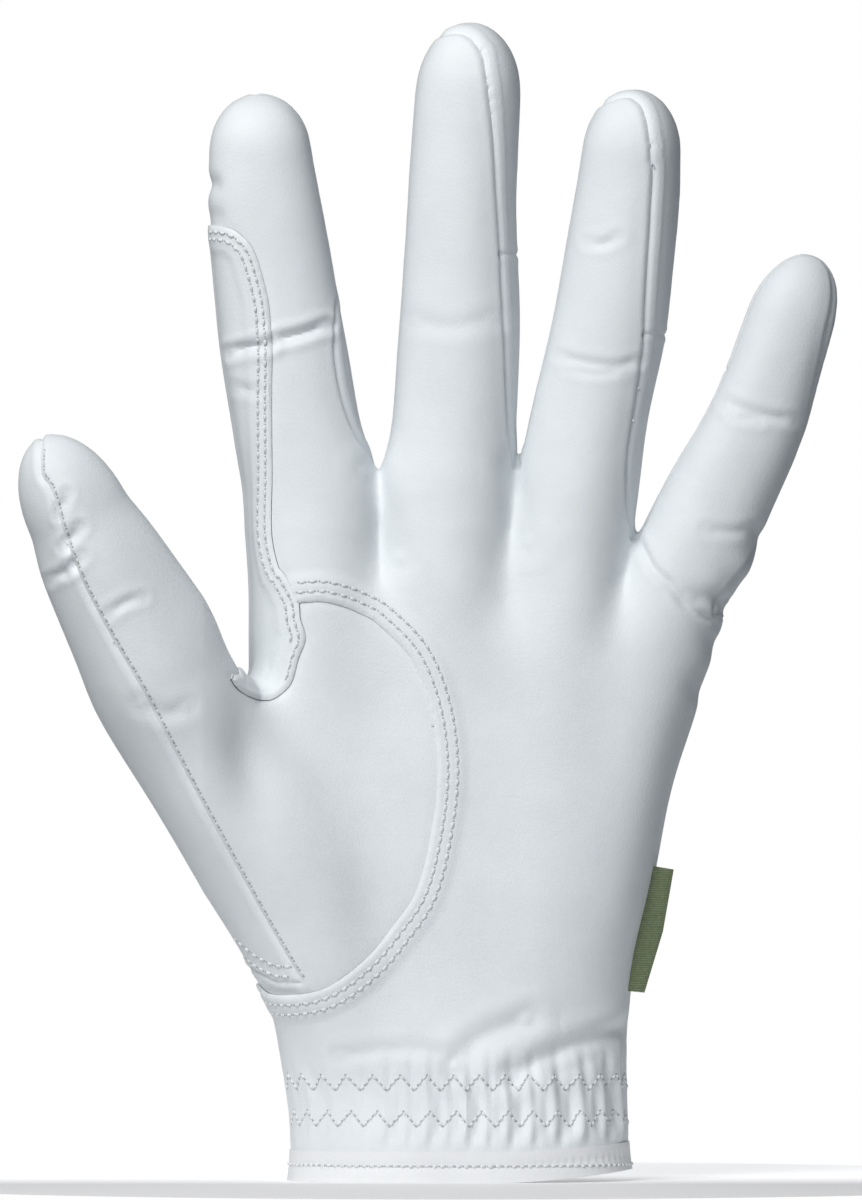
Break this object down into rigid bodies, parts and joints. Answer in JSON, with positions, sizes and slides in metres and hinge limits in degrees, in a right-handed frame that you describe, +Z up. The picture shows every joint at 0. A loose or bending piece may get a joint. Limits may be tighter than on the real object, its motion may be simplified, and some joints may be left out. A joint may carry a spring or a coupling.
{
  "type": "golf glove",
  "caption": "Left-hand leather golf glove with an oval thumb inset, side walls between the fingers, a gathered elastic wrist and a peel-back closure tab.",
  "frame": {"origin": "centre of the wrist opening, in the plane of the hem's lower edge", "axes": "+Z up through the fingers, -Y out of the palm side, -X towards the thumb"},
  "size_m": [0.1587, 0.0583, 0.2259],
  "materials": {
    "leather": "soft matte off-white",
    "binding": "soft matte off-white",
    "elastic": "matte woven",
    "label": "matte woven",
    "hook_and_loop": "matte pile"
  },
  "bodies": {
    "palm": {"palm": "leather", "back": "leather", "thumb_oval": "leather", "thumb_base_back": "leather", "thumb_web": "leather", "hem": "binding", "slit_binding": "binding", "wrist_elastic": "elastic", "side_label": "label", "tab_anchor": "leather", "loop_pad": "hook_and_loop"},
    "fingers": {"fingers_front": "leather", "fingers_back": "leather", "gusset_index_middle": "leather", "gusset_middle_ring": "leather", "gusset_ring_little": "leather", "index_strip_middle": "leather"},
    "index_tip": {"index_tip_front": "leather", "index_tip_back": "leather", "index_strip_tip": "leather"},
    "middle_tip": {"middle_tip_front": "leather", "middle_tip_back": "leather"},
    "ring_tip": {"ring_tip_front": "leather", "ring_tip_back": "leather"},
    "little_tip": {"little_tip_front": "leather", "little_tip_back": "leather"},
    "thumb_middle": {"thumb_middle_front": "leather", "thumb_middle_back": "leather"},
    "thumb_tip": {"thumb_tip_front": "leather", "thumb_tip_back": "leather"},
    "tab": {"closure_tab": "leather", "hook_pad": "hook_and_loop"}
  },
  "joints": [
    {"name": "knuckle_fold", "type": "hinge", "parent": "palm", "child": "fingers", "pos_m": [0.004, -0.006, 0.116], "axis": [0.9806, 0, -0.1961], "range_deg": [0, 50]},
    {"name": "index_bend", "type": "hinge", "parent": "fingers", "child": "index_tip", "pos_m": [-0.03501, -0.00342, 0.1639], "axis": [0.985, -0.0697, 0.1578], "range_deg": [0, 65]},
    {"name": "middle_bend", "type": "hinge", "parent": "fingers", "child": "middle_tip", "pos_m": [-0.00138, -0.00332, 0.16698], "axis": [0.9598, -0.2756, -0.0537], "range_deg": [0, 65]},
    {"name": "ring_bend", "type": "hinge", "parent": "fingers", "child": "ring_tip", "pos_m": [0.02649, -0.00321, 0.16013], "axis": [0.9284, -0.3089, -0.2063], "range_deg": [0, 65]},
    {"name": "little_bend", "type": "hinge", "parent": "fingers", "child": "little_tip", "pos_m": [0.0583, -0.00413, 0.1497], "axis": [0.9465, 0.0695, -0.315], "range_deg": [0, 65]},
    {"name": "thumb_base_bend", "type": "hinge", "parent": "palm", "child": "thumb_middle", "pos_m": [-0.05727, -0.01955, 0.10027], "axis": [0.6889, 0.5753, 0.441], "range_deg": [0, 25]},
    {"name": "thumb_tip_bend", "type": "hinge", "parent": "thumb_middle", "child": "thumb_tip", "pos_m": [-0.06608, -0.02346, 0.11741], "axis": [0.6584, 0.5761, 0.4844], "range_deg": [0, 40]},
    {"name": "tab_peel", "type": "hinge", "parent": "palm", "child": "tab", "pos_m": [-0.011, 0.0223, 0.025], "axis": [0, -0.055, 0.9985], "range_deg": [0, 110]}
  ]
}
